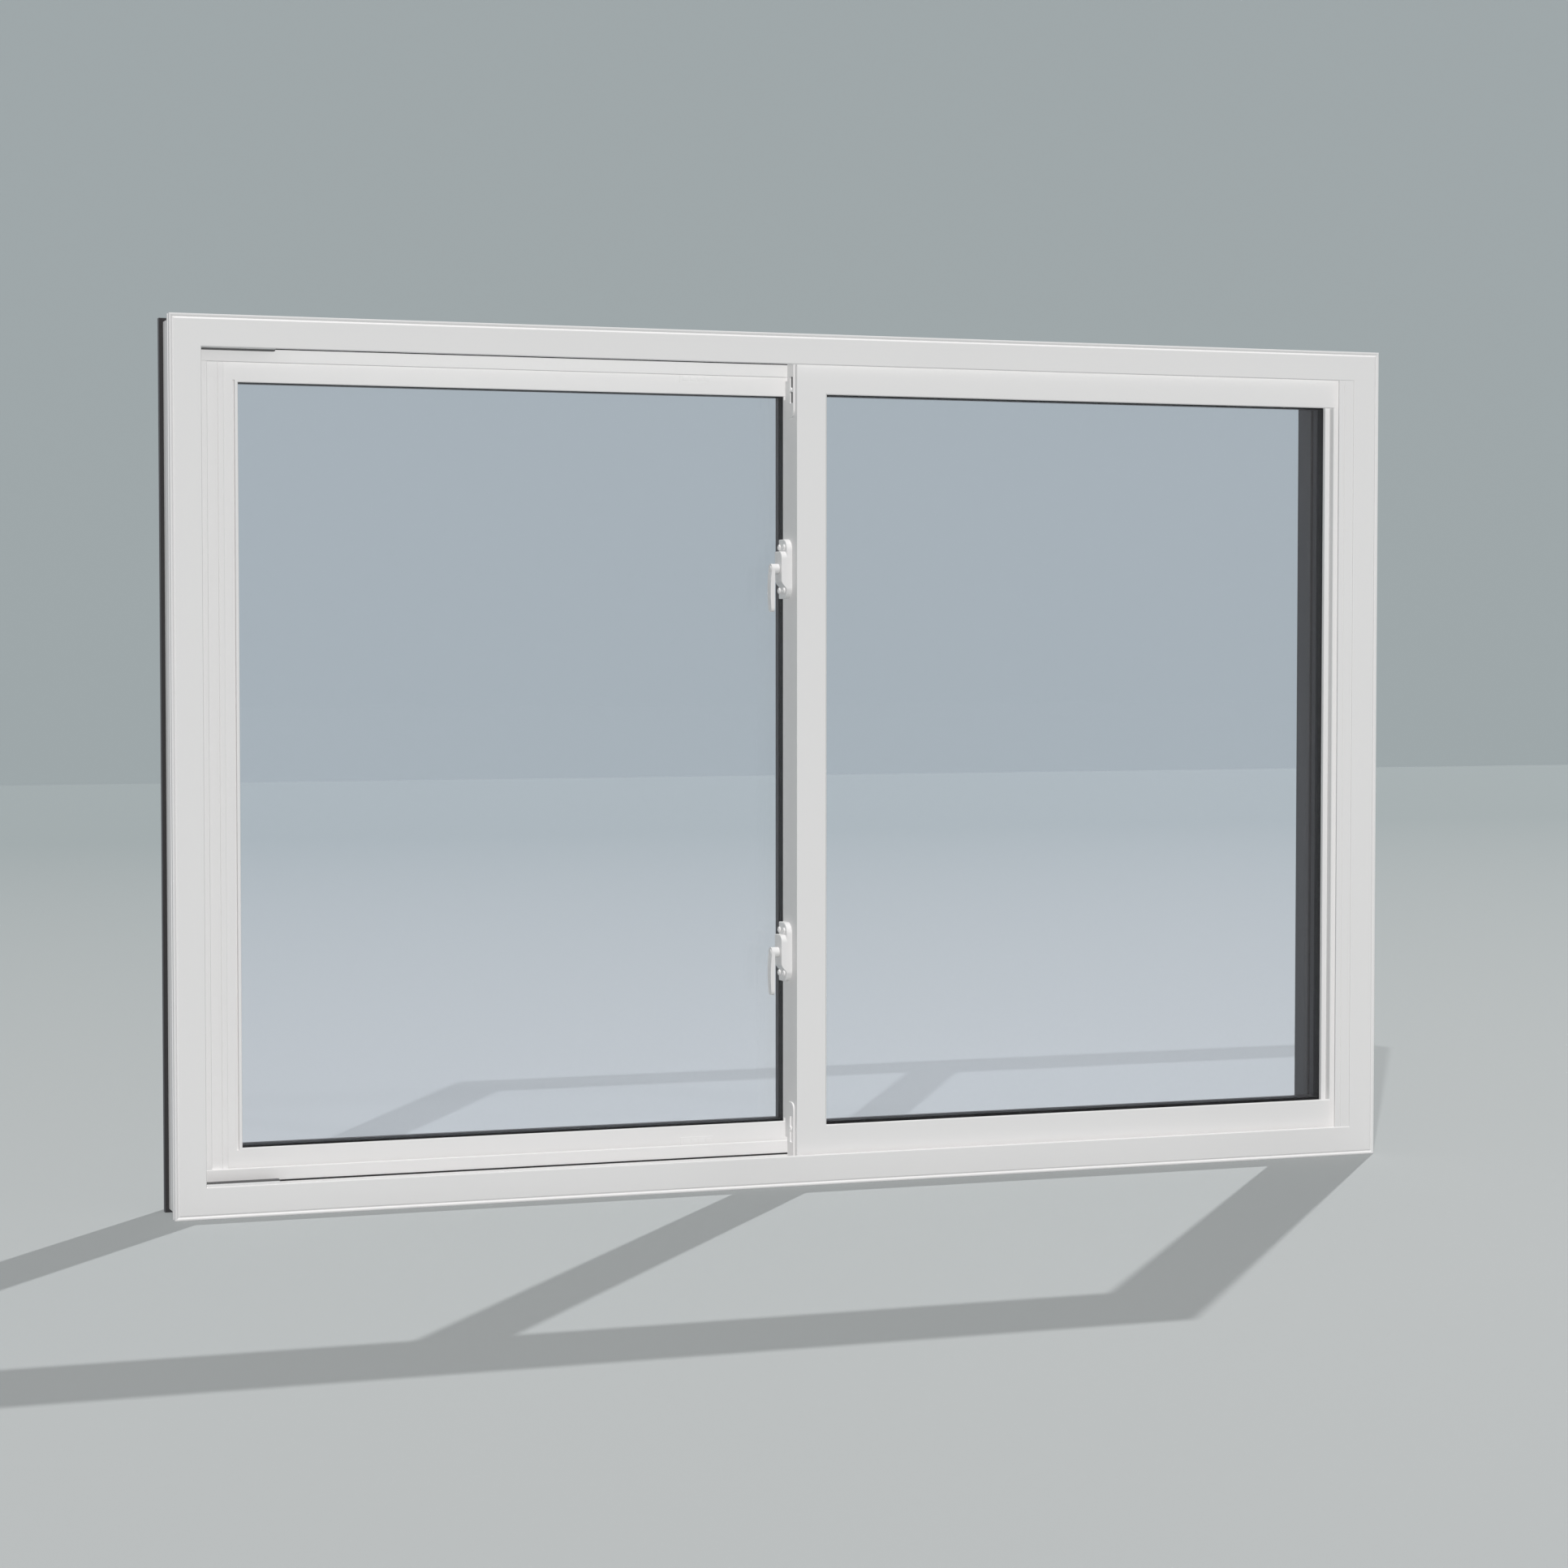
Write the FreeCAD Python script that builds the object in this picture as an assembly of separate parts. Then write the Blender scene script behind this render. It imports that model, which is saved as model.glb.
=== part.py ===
import FreeCAD, Part
import math
import os

from FreeCAD import Vector

# Horizontal sliding window, millimetres. X runs along the width, Y from the room to the outside, Z up.
# The origin is under the middle of the sill. A depth is measured back from the room face of the frame,
# and an inset from the outer edge of a ring towards its middle.

# Overall size
frame_width = 1831.0
frame_height = 1219.0
frame_depth = 115.0

# Frame profile: a face lip with an edge bead, a fin behind it and a set-back body
lip_thickness = 8.0
head_lip = 43.5
sill_lip = 43.5
left_lip = 43.0
right_lip = 42.2
lip_round = 1.2
edge_bead = 2.4
edge_bead_round = 0.9
edge_groove = 4.4
edge_groove_depth = 1.7
edge_groove_round = 0.4
fin_front = 14.0
fin_thickness = 6.0
fin_round = 0.6
fin_groove_depth = 2.5
body_setback = 5.5
web_inset = 16.0
side_groove_depths = (36.0, 58.0)
side_groove_width = 1.6
side_groove_depth = 1.0

# Dark outer cladding: a thin flange level with the face, and a body behind it
cladding_front = 78.0
cladding_flange = 12.0
cladding_flange_round = 0.8
cladding_plate = 13.0
cladding_setback = 8.0
cladding_inset = 76.0
cladding_round = 2.0
sill_foot_inset = 25.0
weep_positions = (-620.0, -240.0, 240.0, 620.0)
weep_length = 36.0
weep_height = 6.0
weep_depth = 3.0
weep_inset = 22.0

# Track: covers between the two tracks, their seals, the roller rail and the stop blocks
cover_front = 60.0
cover_thickness = 6.0
cover_inset = 58.0
left_cover_inset = 61.5
right_cover_inset = 54.6
cover_round = 1.0
seal_thickness = 1.5
seal_height = 2.4
seal_inset = 40.2
rail_front = 28.0
rail_thickness = 8.0
rail_height = 6.0
rail_taper = 1.6
rail_round = 1.5
stop_block_length = 142.5
stop_block_front = 20.0
stop_block_thickness = 17.0
stop_block_inset = 42.0
stop_block_slant = 8.0
stop_block_round = 3.0

# Jamb liners, each with a fine line along it
liner_thickness = 3.0
liner_round = 0.6
right_liner_front = 1.0
right_liner_inset = 66.5
right_liner_line = 57.6
left_liner_inset = 84.9
left_liner_line = 77.2
left_liner_tuck = 10.0
liner_line_width = 1.2
liner_line_depth = 0.8

# Daylight edge of both sashes at head and sill: a thin lip in front of a lower glazing ledge
daylight_inset = 84.6
rail_lip = 5.0
ledge_drop = 4.0

# Sealed glass unit
pane_thickness = 3.0
pane_gap = 15.0
glass_bite = 12.0
glass_edge_room = 1.0
sight_rise = 2.0

# Sliding sash
sash_front = 13.0
sash_glass_setback = 19.0
sash_bead_setback = 12.7
sash_bead_width = 7.6
sash_left = -18.6
sash_right_inset = 36.0
sash_room = 8.0
slide_room = 5.5
sash_round = 1.4
meeting_face_width = 45.5
meeting_bead_width = 4.6
right_stile_face = 33.3
outer_stop_depth = 12.0
interlock_width = 12.0
interlock_depth = 19.0
interlock_round = 1.0

# Fixed sash, with a recess in its meeting stile for the interlock
fixed_front = 70.0
fixed_glass_setback = 10.0
fixed_right = 25.4
fixed_meeting_width = 41.2
fixed_recess_width = 16.0
fixed_recess_depth = 7.0
fixed_daylight_left = 105.5
fixed_groove_offset = 4.5
fixed_groove_width = 3.3
fixed_groove_depth = 7.0
fixed_groove_overrun = 3.0
fixed_top_room = 2.0
fixed_stop_setback = 1.0
fixed_back_room = 1.0
fixed_round = 1.0
stop_round = 1.2

# Rollers under the sliding sash
roller_inset = 114.0
roller_body_length = 50.0
roller_body_width = 14.0
roller_body_height = 6.0
roller_radius = 6.0
roller_width = 6.0
roller_room = 0.3

# End plates on the side of the meeting stile, with two slots each
end_plate_reach = 117.0
end_plate_front = 22.7
end_plate_width = 25.0
end_plate_thickness = 2.2
end_plate_round = 10.0
slot_front = 25.5
slot_width = 12.0
slot_height = 16.0
slot_round = 1.5
slot_insets = (59.0, 80.8)
slot_pocket = 4.0

# Sash locks
lock_offset = 276.0
lock_front = 34.0
lock_plate_height = 85.3
lock_plate_width = 34.5
lock_plate_thickness = 8.0
lock_plate_round = 16.0
lock_edge_round = 1.2
lock_housing_top = 25.2
lock_housing_bottom = 28.0
lock_housing_ramp = 9.0
lock_housing_width = 28.0
lock_housing_thickness = 8.0
lock_housing_round = 10.0
lever_hub_radius = 7.5
lever_hub_rise = 0.0
lever_room = 0.3
lever_reach = 7.0
lever_length = 61.7
lever_width = 12.0
lever_thickness = 4.8
lever_bow = 1.8

# Retainer clips on the rails of the fixed sash
clip_left = -176.6
clip_length = 51.0
clip_height = 11.5
clip_inset = 57.0
clip_thickness = 1.0
clip_round = 1.5

# Dark tracks that line the outer side of the sliding bay
screen_track_front = 70.0
screen_track_step = 2.0
screen_track_start = 30.4

# Sizes worked out from the driving ones
half_width = frame_width / 2
front_y = -frame_depth / 2
cladding_shelf = frame_depth - cladding_plate
cover_back = cover_front + cover_thickness
glass_thickness = 2 * pane_thickness + pane_gap
sash_right = half_width - sash_right_inset
sash_bottom = web_inset + rail_height + sash_room
sash_top_inset = web_inset + sash_room
interlock_inset = daylight_inset + slide_room
sash_glass_front = sash_front + sash_glass_setback
sash_white_back = sash_glass_front + glass_thickness
fixed_glass_front = fixed_front + fixed_glass_setback
fixed_white_back = cladding_shelf - fixed_back_room
fixed_stop_depth = frame_depth - fixed_stop_setback - fixed_white_back
screen_track_inset = cladding_inset + screen_track_step
meeting_bead = sash_left + meeting_face_width + meeting_bead_width
right_bead = sash_right - right_stile_face - sash_bead_width
lever_centre_depth = lock_front + lock_housing_width / 2


class Ring:
    """A rectangle in the plane of the window, named by its four edges."""

    def __init__(self, left, right, bottom, top):
        self.left = left
        self.right = right
        self.bottom = bottom
        self.top = top

    def inset(self, left, right, bottom, top):
        return Ring(self.left + left, self.right - right, self.bottom + bottom, self.top - top)

    def corners(self):
        bottom_left = (self.left, self.bottom)
        bottom_right = (self.right, self.bottom)
        top_right = (self.right, self.top)
        top_left = (self.left, self.top)
        return bottom_left, bottom_right, top_right, top_left


frame_ring = Ring(-half_width, half_width, 0.0, frame_height)
lip_ring = frame_ring.inset(left_lip, right_lip, sill_lip, head_lip)
web_ring = frame_ring.inset(web_inset, web_inset, web_inset, web_inset)
cladding_ring = frame_ring.inset(cladding_inset, cladding_inset, cladding_inset, cladding_inset)
sash_ring = Ring(sash_left, sash_right, sash_bottom, frame_height - sash_top_inset)
sash_daylight = Ring(meeting_bead, right_bead, daylight_inset, frame_height - daylight_inset)
sash_face = sash_daylight.inset(-meeting_bead_width, -sash_bead_width, 0.0, 0.0)
fixed_ring = Ring(web_ring.left, fixed_right, web_ring.bottom, web_ring.top - fixed_top_room)
fixed_daylight = Ring(
    -half_width + fixed_daylight_left,
    fixed_right - fixed_meeting_width,
    daylight_inset,
    frame_height - daylight_inset,
)


def slab(x_range, depth_range, z_range):
    """A box between two X values, two depths and two heights."""
    low = Vector(x_range[0], front_y + depth_range[0], z_range[0])
    return Part.makeBox(
        x_range[1] - x_range[0],
        depth_range[1] - depth_range[0],
        z_range[1] - z_range[0],
        low,
    )


def outline_face(corners, place):
    """A flat face from corner points, each with a rounding radius as an optional third value.

    place turns the two values of a point into a point in space.
    """
    turns = []
    for index, corner in enumerate(corners):
        here = Vector(corner[0], corner[1], 0)
        if len(corner) < 3:
            turns.append((here, None, here))
            continue
        before = corners[index - 1]
        after = corners[(index + 1) % len(corners)]
        back = (Vector(before[0], before[1], 0) - here).normalize()
        ahead = (Vector(after[0], after[1], 0) - here).normalize()
        half = back.getAngle(ahead) / 2
        reach = corner[2] / math.tan(half)
        middle = here + (back + ahead).normalize() * (corner[2] / math.sin(half) - corner[2])
        turns.append((here + back * reach, middle, here + ahead * reach))
    edges = []
    for index, (start, middle, end) in enumerate(turns):
        following = turns[(index + 1) % len(turns)][0]
        if middle is not None:
            edges.append(Part.Arc(place(start), place(middle), place(end)).toShape())
        if (following - end).Length > 1e-6:
            edges.append(Part.LineSegment(place(end), place(following)).toShape())
    return Part.Face(Part.Wire(edges))


def sheet(outline, depth_range):
    """An outline of X and Z corners, thickened between two depths."""
    face = outline_face(outline, lambda point: Vector(point.x, front_y + depth_range[0], point.y))
    return face.extrude(Vector(0, depth_range[1] - depth_range[0], 0))


def side_plate(outline, x_range):
    """An outline of depth and Z corners, thickened between two X values."""
    face = outline_face(outline, lambda point: Vector(x_range[0], front_y + point.x, point.y))
    return face.extrude(Vector(x_range[1] - x_range[0], 0, 0))


def upright_bar(outline, z_range):
    """An outline of X and depth corners, thickened between two heights."""
    face = outline_face(outline, lambda point: Vector(point.x, front_y + point.y, z_range[0]))
    return face.extrude(Vector(0, 0, z_range[1] - z_range[0]))


def ring_bar(side, section, outer, inner):
    """One side of a mitred ring, from a section of inset and depth corners."""
    depths = [corner[1] for corner in section]
    reach = max(corner[0] for corner in section)
    if side in ("head", "sill"):
        edge, sign = (outer.top, -1) if side == "head" else (outer.bottom, 1)
        face = outline_face(
            section,
            lambda point: Vector(outer.left, front_y + point.y, edge + sign * point.x),
        )
        run = Vector(outer.right - outer.left, 0, 0)
    else:
        edge, sign = (outer.right, -1) if side == "right" else (outer.left, 1)
        face = outline_face(
            section,
            lambda point: Vector(edge + sign * point.x, front_y + point.y, outer.bottom),
        )
        run = Vector(0, 0, outer.top - outer.bottom)
    wedge = mitre_wedge(side, outer, inner, reach, (min(depths), max(depths)))
    return face.extrude(run).common(wedge)


def mitre_wedge(side, outer, inner, reach, depth_range):
    """The space of one side of a ring, bounded by lines from outer to inner corners."""
    order = {"sill": (0, 1), "right": (1, 2), "head": (2, 3), "left": (3, 0)}[side]
    outer_points = [outer.corners()[index] for index in order]
    inner_points = [inner.corners()[index] for index in order]
    widths = {
        "sill": inner.bottom - outer.bottom,
        "head": outer.top - inner.top,
        "left": inner.left - outer.left,
        "right": outer.right - inner.right,
    }
    share = max(1.0, reach / widths[side])
    far_points = [
        (o[0] + share * (i[0] - o[0]), o[1] + share * (i[1] - o[1]))
        for o, i in zip(outer_points, inner_points)
    ]
    return sheet([outer_points[0], outer_points[1], far_points[1], far_points[0]], depth_range)


def frame_section(lip):
    """Lip with edge bead and groove, fin and set-back body of the frame."""
    fin_back = fin_front + fin_thickness
    points = [
        (0.0, 0.0, edge_bead_round),
        (edge_bead, 0.0, edge_groove_round),
        (edge_bead + edge_groove / 2, edge_groove_depth),
        (edge_bead + edge_groove, 0.0, edge_groove_round),
        (lip, 0.0, lip_round),
        (lip, lip_thickness, lip_round),
        (web_inset, lip_thickness),
        (web_inset, cladding_front),
        (body_setback, cladding_front),
    ]
    for depth in reversed(side_groove_depths):
        points += [
            (body_setback, depth + side_groove_width / 2),
            (body_setback + side_groove_depth, depth),
            (body_setback, depth - side_groove_width / 2),
        ]
    points += [
        (body_setback, fin_back),
        (0.0, fin_back, fin_round),
        (0.0, fin_front, fin_round),
        (fin_groove_depth, fin_front),
        (fin_groove_depth, lip_thickness),
        (0.0, lip_thickness, fin_round),
    ]
    return points


def cladding_section():
    """Thin flange and deeper body of the dark cladding."""
    flange_back = cladding_front + cladding_flange
    turn = min(cladding_round, 0.45 * (frame_depth - cladding_shelf))
    return [
        (0.0, cladding_front, cladding_flange_round),
        (web_inset, cladding_front),
        (web_inset, cladding_shelf),
        (cladding_inset, cladding_shelf),
        (cladding_inset, frame_depth, turn),
        (cladding_setback, frame_depth, turn),
        (cladding_setback, flange_back),
        (0.0, flange_back, cladding_flange_round),
    ]


def frame_parts():
    """Head, sill and jambs, with the dark cladding behind them."""
    lips = {"head": head_lip, "sill": sill_lip, "left": left_lip, "right": right_lip}
    names = {"head": "head", "sill": "sill", "left": "left_jamb", "right": "right_jamb"}
    made = {}
    for side, lip in lips.items():
        made[names[side]] = ring_bar(side, frame_section(lip), frame_ring, lip_ring)
        made[side + "_cladding"] = ring_bar(side, cladding_section(), frame_ring, cladding_ring)
    made["sill_cladding"] = made["sill_cladding"].fuse(sill_foot()).removeSplitter()
    for x in weep_positions:
        made["sill_cladding"] = made["sill_cladding"].cut(weep_slot(x))
    return made


def sill_foot():
    """A bar under the outer part of the sill cladding, level with its flange, that the window stands on."""
    near = cladding_front + cladding_flange
    outline = [
        (near, 0.0),
        (frame_depth, 0.0, cladding_round),
        (frame_depth, cladding_setback + cladding_round),
        (near, cladding_setback + cladding_round),
    ]
    return side_plate(outline, (-half_width + sill_foot_inset, half_width - sill_foot_inset))


def weep_slot(x):
    """The space of a drain slot in the outer face of the sill cladding."""
    left = x - weep_length / 2
    right = x + weep_length / 2
    low = weep_inset
    high = weep_inset + weep_height
    turn = 0.49 * weep_height
    outline = [(left, low, turn), (right, low, turn), (right, high, turn), (left, high, turn)]
    return sheet(outline, (frame_depth - weep_depth, frame_depth + weep_depth))


def track_parts():
    """Track covers, seals, roller rail, stop blocks and jamb liners."""
    seal_front = cover_front - seal_thickness
    top = frame_height
    jamb_left = -half_width + left_cover_inset
    jamb_right = half_width - right_cover_inset
    across = (web_ring.left, web_ring.right)
    between = (jamb_left, jamb_right)
    upright = (cover_inset, top - cover_inset)

    def cover(free_edge, held_edge):
        return [
            (cover_front, free_edge, cover_round),
            (cover_back, free_edge),
            (cover_back, held_edge),
            (cover_front, held_edge),
        ]

    def jamb_cover(free_edge, held_edge):
        return [(corner[1], corner[0]) + corner[2:] for corner in cover(free_edge, held_edge)]

    def seal(low):
        high = low + seal_height
        turn = 0.45 * seal_height
        return [(seal_front, low, turn), (cover_front, low), (cover_front, high), (seal_front, high, turn)]

    rail_top = web_ring.bottom + rail_height
    rail = [
        (rail_front, web_ring.bottom),
        (rail_front + rail_thickness, web_ring.bottom),
        (rail_front + rail_thickness - rail_taper, rail_top, rail_round),
        (rail_front + rail_taper, rail_top, rail_round),
    ]
    made = {
        "head_track_cover": side_plate(cover(top - cover_inset, web_ring.top), across),
        "sill_track_cover": side_plate(cover(cover_inset, web_ring.bottom), across),
        "left_track_cover": upright_bar(jamb_cover(jamb_left, web_ring.left), upright),
        "right_track_cover": upright_bar(jamb_cover(jamb_right, web_ring.right), upright),
        "head_seal": side_plate(seal(top - seal_inset), between),
        "sill_seal": side_plate(seal(seal_inset - seal_height), between),
        "roller_rail": side_plate(rail, across),
        "left_liner": lined_strip(
            (jamb_left - left_liner_tuck, -half_width + left_liner_inset),
            (cover_back, fixed_front),
            -half_width + left_liner_line,
            (cover_inset - left_liner_tuck, top - cover_inset + left_liner_tuck),
        ),
        "right_liner": lined_strip(
            (half_width - right_liner_inset, half_width - right_lip),
            (right_liner_front, right_liner_front + liner_thickness),
            half_width - right_liner_line,
            (sill_lip, top - head_lip),
        ),
    }
    made.update(stop_blocks())
    made.update(screen_tracks())
    return made


def lined_strip(x_range, depth_range, line_x, z_range):
    """A flat upright strip with a fine groove along its room face."""
    near, far = depth_range
    outline = [
        (x_range[0], near, liner_round),
        (line_x - liner_line_width / 2, near),
        (line_x, near + liner_line_depth),
        (line_x + liner_line_width / 2, near),
        (x_range[1], near, liner_round),
        (x_range[1], far),
        (x_range[0], far),
    ]
    return upright_bar(outline, z_range)


def stop_blocks():
    """Blocks in the head and sill tracks that end the travel of the sash."""
    start = web_ring.left
    end = start + stop_block_length
    depths = (stop_block_front, stop_block_front + stop_block_thickness)

    def block(held_edge, free_edge):
        return [
            (start, held_edge),
            (end, held_edge),
            (end - stop_block_slant, free_edge, stop_block_round),
            (start, free_edge),
        ]

    return {
        "sill_stop_block": sheet(block(web_ring.bottom + rail_height, stop_block_inset), depths),
        "head_stop_block": sheet(block(web_ring.top, frame_height - stop_block_inset), depths),
    }


def screen_tracks():
    """Dark bars that line the outer side of the sliding bay."""
    depths = (screen_track_front, cladding_shelf)
    top = frame_height - screen_track_inset
    right = half_width - screen_track_inset
    across = (screen_track_start, web_ring.right)
    return {
        "head_screen_track": slab(across, depths, (top, web_ring.top)),
        "sill_screen_track": slab(across, depths, (web_ring.bottom, screen_track_inset)),
        "jamb_screen_track": slab((right, web_ring.right), depths, (screen_track_inset, top)),
    }


def glass_unit(prefix, daylight, front, back):
    """Two panes that fill a depth, and the black spacer ring between them."""
    edge = daylight.inset(-glass_bite, -glass_bite, -glass_bite, -glass_bite)
    x_range = (edge.left, edge.right)
    z_range = (edge.bottom, edge.top)
    gap = (front + pane_thickness, back - pane_thickness)
    sight = daylight.inset(0.0, 0.0, sight_rise, 0.0)
    window = slab((sight.left, sight.right), gap, (sight.bottom, sight.top))
    return {
        prefix + "_inner_pane": slab(x_range, (front, front + pane_thickness), z_range),
        prefix + "_outer_pane": slab(x_range, (back - pane_thickness, back), z_range),
        prefix + "_spacer": slab(x_range, gap, z_range).cut(window),
    }


def rail_section(width, depths, turn):
    """A sash bar with a rounded face and a rebate for the glass unit."""
    front, glass_front, back = depths
    rebate = width - glass_bite - glass_edge_room
    return [
        (0.0, front, turn),
        (width, front, turn),
        (width, glass_front),
        (rebate, glass_front),
        (rebate, back),
        (0.0, back),
    ]


def lipped_section(width, depths, turn):
    """A sash rail with a thin lip at the daylight edge, and the glazing ledge lower behind it."""
    lip_back = depths[0] + rail_lip
    ledge = width - ledge_drop
    plain = rail_section(width, depths, turn)
    return plain[:2] + [(width, lip_back), (ledge, lip_back), (ledge, depths[1])] + plain[3:]


def beaded_stile(side, depths):
    """A mitred stile of the sliding sash, with a set-back glazing bead that butts on the rails."""
    ring = sash_ring
    light = sash_daylight
    front, glass_front, back = depths
    face = meeting_face_width if side == "left" else right_stile_face
    bead_width = meeting_bead_width if side == "left" else sash_bead_width
    rebate = face + bead_width - glass_bite - glass_edge_room
    section = [
        (0.0, front, sash_round),
        (face, front, 2 * sash_round),
        (face, glass_front),
        (rebate, glass_front),
        (rebate, back),
        (0.0, back),
    ]
    bar = ring_bar(side, section, ring, sash_face)
    held, free = (sash_face.left, light.left) if side == "left" else (sash_face.right, light.right)
    bead_front = front + sash_bead_setback
    outline = [
        (held, bead_front),
        (free, bead_front, sash_round / 2),
        (free, glass_front),
        (held, glass_front),
    ]
    bead = upright_bar(outline, (light.bottom - ledge_drop, light.top + ledge_drop))
    return bar.fuse(bead).removeSplitter()


def grooved_stile(depths):
    """The fixed sash's left stile, with a groove beside its glazing bead."""
    ring = fixed_ring
    light = fixed_daylight
    bar = ring_bar("left", rail_section(light.left - ring.left, depths, fixed_round), ring, light)
    groove_end = light.left - fixed_groove_offset
    groove = slab(
        (groove_end - fixed_groove_width, groove_end),
        (fixed_front - fixed_groove_depth, fixed_front + fixed_groove_depth),
        (light.bottom - fixed_groove_overrun, light.top + fixed_groove_overrun),
    )
    return bar.cut(groove)


def recessed_section(width, depths, turn):
    """A meeting stile whose daylight side steps back for the interlock."""
    front = depths[0]
    step = width - fixed_recess_width
    floor = front + fixed_recess_depth
    plain = rail_section(width, depths, turn)
    return [plain[0], (step, front, turn), (step, floor), (width, floor, turn)] + plain[2:]


def stop_ring(outer, inner, depth_range):
    """A dark ring round the outer side of a glass unit, with a rounded daylight edge."""
    back = front_y + depth_range[1]
    ring = slab((outer.left, outer.right), depth_range, (outer.bottom, outer.top)).cut(
        slab((inner.left, inner.right), depth_range, (inner.bottom, inner.top))
    )
    rim = []
    for edge in ring.Edges:
        box = edge.BoundBox
        inside = box.XMin > outer.left + 0.1 and box.XMax < outer.right - 0.1
        inside = inside and box.ZMin > outer.bottom + 0.1 and box.ZMax < outer.top - 0.1
        if inside and box.YMin > back - 0.01:
            rim.append(edge)
    turn = min(stop_round, 0.45 * (depth_range[1] - depth_range[0]))
    return ring.makeFillet(turn, rim)


def sliding_sash_parts():
    """Rails, stiles, glass and outer stops of the sash that slides."""
    ring = sash_ring
    light = sash_daylight
    depths = (sash_front, sash_glass_front, sash_white_back)
    bottom = lipped_section(light.bottom - ring.bottom, depths, sash_round)
    top = lipped_section(ring.top - light.top, depths, sash_round)
    stop_outer = light.inset(-glass_bite, -glass_bite, -glass_bite, -glass_bite)
    stop_depths = (sash_white_back, sash_white_back + outer_stop_depth)
    made = {
        "sash_top_rail": ring_bar("head", top, ring, sash_face),
        "sash_bottom_rail": ring_bar("sill", bottom, ring, sash_face),
        "sash_meeting_stile": meeting_stile(depths),
        "sash_right_stile": beaded_stile("right", depths),
        "sash_outer_stops": stop_ring(stop_outer, light.inset(0.0, 0.0, sight_rise, 0.0), stop_depths),
    }
    made.update(glass_unit("sash", light, sash_glass_front, sash_white_back))
    made.update(end_plates())
    made["sash_rollers"] = rollers()
    return made


def meeting_stile(depths):
    """The sliding sash's meeting stile, with its interlock and the pockets of the upper plate."""
    ring = sash_ring
    light = sash_daylight
    bar = beaded_stile("left", depths)
    z_range = (interlock_inset, frame_height - interlock_inset)
    tab_inset = cover_inset + slide_room

    def leg(back):
        return [
            (ring.left, sash_white_back),
            (ring.left, back, interlock_round),
            (ring.left + interlock_width, back, interlock_round),
            (ring.left + interlock_width, sash_white_back),
        ]

    hook = upright_bar(leg(sash_white_back + interlock_depth), z_range)
    tab = upright_bar(leg(fixed_front - clip_thickness - slide_room), (tab_inset, frame_height - tab_inset))
    web = slab(
        (ring.left, light.left - glass_bite),
        (sash_white_back, sash_white_back + outer_stop_depth / 2),
        z_range,
    )
    made = bar.fuse([hook, tab, web]).removeSplitter()
    for inset in slot_insets:
        made = made.cut(slot_space(frame_height - inset - slot_height, (ring.left, ring.left + slot_pocket)))
    return made


def rollers():
    """Two roller carriages under the bottom rail, just over the roller rail."""
    centre = rail_front + rail_thickness / 2
    axle_z = web_ring.bottom + rail_height + roller_room + roller_radius
    body_bottom = sash_bottom - roller_body_height
    made = []
    for x in (sash_left + roller_inset, sash_right - roller_inset):
        body = slab(
            (x - roller_body_length / 2, x + roller_body_length / 2),
            (centre - roller_body_width / 2, centre + roller_body_width / 2),
            (body_bottom, sash_bottom),
        )
        wheel = Part.makeCylinder(
            roller_radius,
            roller_width,
            Vector(x, front_y + centre - roller_width / 2, axle_z),
            Vector(0, 1, 0),
        )
        below = slab(
            (x - roller_radius, x + roller_radius),
            (centre - roller_width, centre + roller_width),
            (body_bottom - roller_radius, sash_bottom),
        )
        made.append(body.fuse(wheel.common(below)).removeSplitter())
    return Part.makeCompound(made)


def slot_space(low, x_range):
    """The space of one slot in the side of the meeting stile."""
    near = slot_front
    far = slot_front + slot_width
    high = low + slot_height
    corners = ((near, low), (far, low), (far, high), (near, high))
    return side_plate([(depth, z, slot_round) for depth, z in corners], x_range)


def end_plates():
    """Thin slotted plates at both ends of the meeting stile's side."""
    near = end_plate_front
    far = near + end_plate_width
    x_range = (sash_left - end_plate_thickness, sash_left)

    def plate(held_edge, free_edge):
        outline = [
            (near, held_edge),
            (far, held_edge),
            (far, free_edge, end_plate_round / 2),
            (near, free_edge, end_plate_round),
        ]
        return side_plate(outline, x_range)

    low = plate(sash_ring.bottom, end_plate_reach)
    high = plate(sash_ring.top, frame_height - end_plate_reach)
    for inset in slot_insets:
        low = low.cut(slot_space(inset, x_range))
        high = high.cut(slot_space(frame_height - inset - slot_height, x_range))
    return {"sash_bottom_end_plate": low, "sash_top_end_plate": high}


def fixed_sash_parts():
    """Rails, stiles, glass, outer stops and clips of the fixed sash."""
    ring = fixed_ring
    light = fixed_daylight
    depths = (fixed_front, fixed_glass_front, fixed_white_back)
    bottom = lipped_section(light.bottom - ring.bottom, depths, fixed_round)
    top = lipped_section(ring.top - light.top, depths, fixed_round)
    meeting = recessed_section(ring.right - light.right, depths, fixed_round)
    stop_outer = Ring(cladding_ring.left, fixed_right, cladding_ring.bottom, cladding_ring.top)
    stop_depths = (fixed_white_back, fixed_white_back + fixed_stop_depth)
    made = {
        "fixed_top_rail": ring_bar("head", top, ring, light),
        "fixed_bottom_rail": ring_bar("sill", bottom, ring, light),
        "fixed_left_stile": grooved_stile(depths),
        "fixed_meeting_stile": ring_bar("right", meeting, ring, light),
        "fixed_outer_stops": stop_ring(stop_outer, light.inset(0.0, 0.0, sight_rise, 0.0), stop_depths),
    }
    made.update(glass_unit("fixed", light, fixed_glass_front, fixed_white_back))
    made["fixed_top_clip"] = clip(frame_height - clip_inset - clip_height)
    made["fixed_bottom_clip"] = clip(clip_inset)
    return made


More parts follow.
